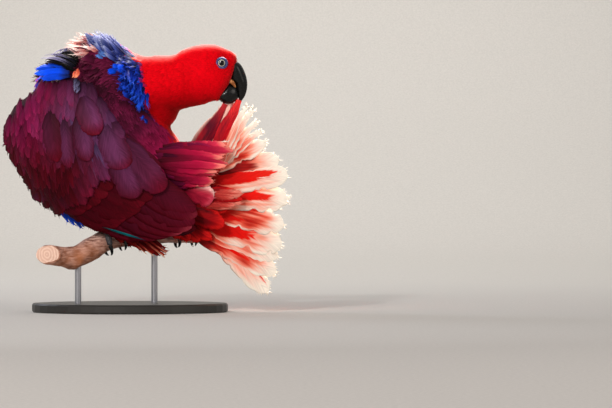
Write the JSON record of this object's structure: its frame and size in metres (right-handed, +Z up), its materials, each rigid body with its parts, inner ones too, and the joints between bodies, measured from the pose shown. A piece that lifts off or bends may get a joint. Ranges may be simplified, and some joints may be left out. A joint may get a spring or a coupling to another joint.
{
  "type": "perched parrot display model",
  "caption": "Life-size hen eclectus parrot, wings folded, neck turned back and bill at its fanned tail, on a short perch held by two rods on a flat oval base.",
  "frame": {"origin": "centre of the display base's flat underside", "axes": "+X along the bird from its breast to its tail, +Z up, -Y the side of the bird that the picture shows"},
  "size_m": [0.2836, 0.1446, 0.282],
  "materials": {
    "red_feather": "soft sheen",
    "wine_feather": "soft sheen",
    "bill_and_claws": "satin horn",
    "eye": "wet gloss",
    "leg_skin": "matt scales",
    "perch_wood": "weathered bark",
    "rod_steel": "brushed",
    "base_paint": "satin black"
  },
  "bodies": {
    "root": {"bill_lower": "bill_and_claws", "bill_upper": "bill_and_claws", "claw_left_1": "bill_and_claws", "claw_left_2": "bill_and_claws", "claw_left_3": "bill_and_claws", "claw_left_4": "bill_and_claws", "claw_right_1": "bill_and_claws", "claw_right_2": "bill_and_claws", "claw_right_3": "bill_and_claws", "claw_right_4": "bill_and_claws", "eye_left": "eye", "eye_right": "eye", "foot_left": "leg_skin", "foot_right": "leg_skin", "head": "red_feather", "neck": "red_feather", "perch": "perch_wood", "rump": "wine_feather", "stand_base": "base_paint", "stand_rod_1": "rod_steel", "stand_rod_2": "rod_steel", "tail": "red_feather", "tarsus_left": "leg_skin", "tarsus_right": "leg_skin", "thigh_left": "wine_feather", "thigh_right": "wine_feather", "torso": "wine_feather", "wing_left_arm": "wine_feather", "wing_left_hand": "wine_feather", "wing_right_arm": "wine_feather", "wing_right_hand": "wine_feather"}
  },
  "joints": []
}
